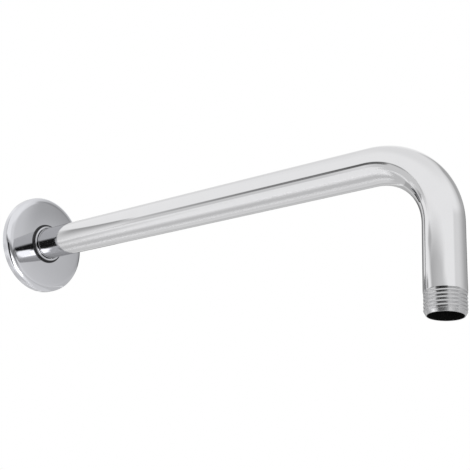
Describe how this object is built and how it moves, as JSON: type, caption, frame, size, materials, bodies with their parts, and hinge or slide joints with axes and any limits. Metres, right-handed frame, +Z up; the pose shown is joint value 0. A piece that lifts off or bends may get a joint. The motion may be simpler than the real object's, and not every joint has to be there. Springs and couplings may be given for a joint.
{
  "type": "shower arm",
  "caption": "Chromed wall shower arm: a round tube bent down through a quarter turn, with pipe threads at its ends and a low round wall rosette that slides and turns on the tube.",
  "frame": {"origin": "on the axis of the straight run, in the wall plane that the rosette's rim rests on", "axes": "+X out of the wall along the straight run, +Z up, the outlet points along -Z"},
  "size_m": [0.3306, 0.067, 0.12],
  "materials": {
    "chromed_tube": "polished chrome plate",
    "chromed_sheet": "polished chrome plate on a pressed sheet",
    "black_rubber": "matt moulded rubber"
  },
  "bodies": {
    "arm": {"arm_tube": "chromed_tube"},
    "seal": {"flange_o_ring": "black_rubber"},
    "flange": {"wall_flange": "chromed_sheet"}
  },
  "joints": [
    {"name": "flange_slide", "type": "slide", "parent": "arm", "child": "seal", "axis": [1, 0, 0], "range_m": [0, 0.25]},
    {"name": "flange_spin", "type": "hinge", "parent": "seal", "child": "flange", "pos_m": [0, 0, 0], "axis": [1, 0, 0], "continuous": true}
  ]
}
